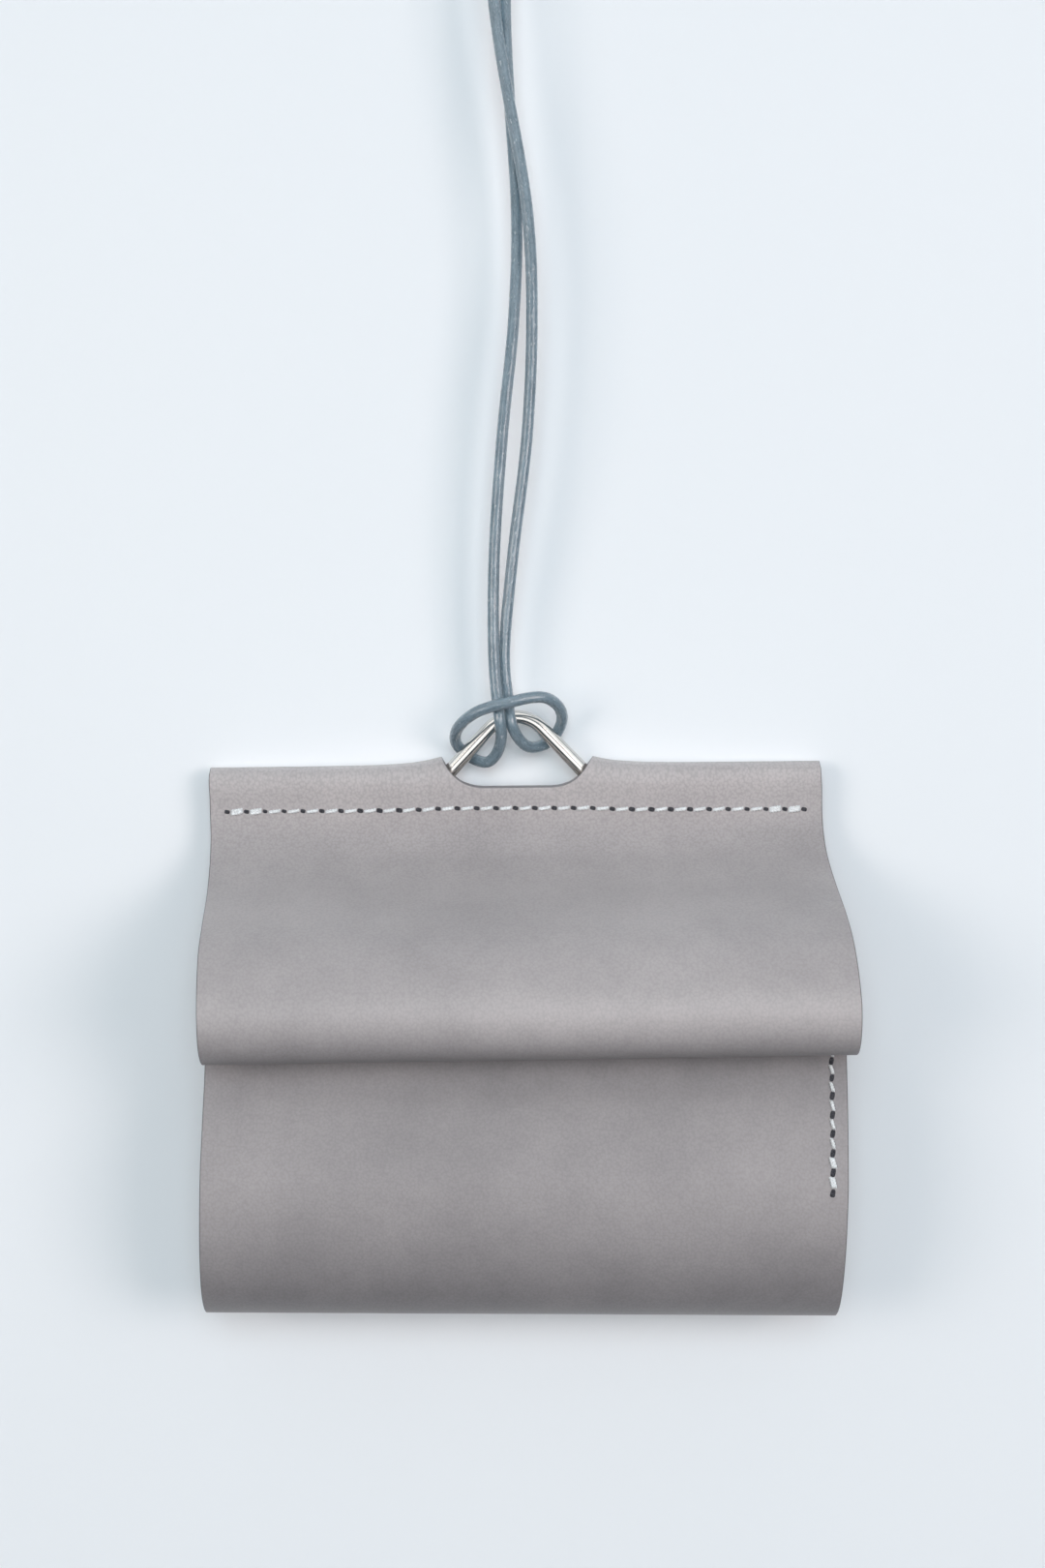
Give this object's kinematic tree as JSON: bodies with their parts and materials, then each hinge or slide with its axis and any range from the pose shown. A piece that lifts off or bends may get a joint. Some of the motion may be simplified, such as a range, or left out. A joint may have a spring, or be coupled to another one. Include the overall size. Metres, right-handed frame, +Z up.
{
  "type": "mini wallet with a hanging cord",
  "caption": "Small wallet folded from a strip of leather: rounded pocket, rolled-under flap hooked over the pocket's mouth, and a triangle ring that carries a hitched loop of round cord.",
  "frame": {"origin": "inside top of the cord's loop, where it hangs on a hook or a finger", "axes": "+Z up along the hanging cord, -Y to the front where the flap is, +X to the right seen from the front"},
  "size_m": [0.0974, 0.0317, 0.2703],
  "materials": {
    "leather": "matt grained vegetable-tanned leather, pale warm grey, with dark burnished edges",
    "ring_metal": "polished nickel-plated wire",
    "cord_leather": "smooth round leather cord, slate blue-grey, slightly glossy"
  },
  "bodies": {
    "root": {"leather_body": "leather", "triangle_ring": "ring_metal", "wrist_cord": "cord_leather"}
  },
  "joints": []
}
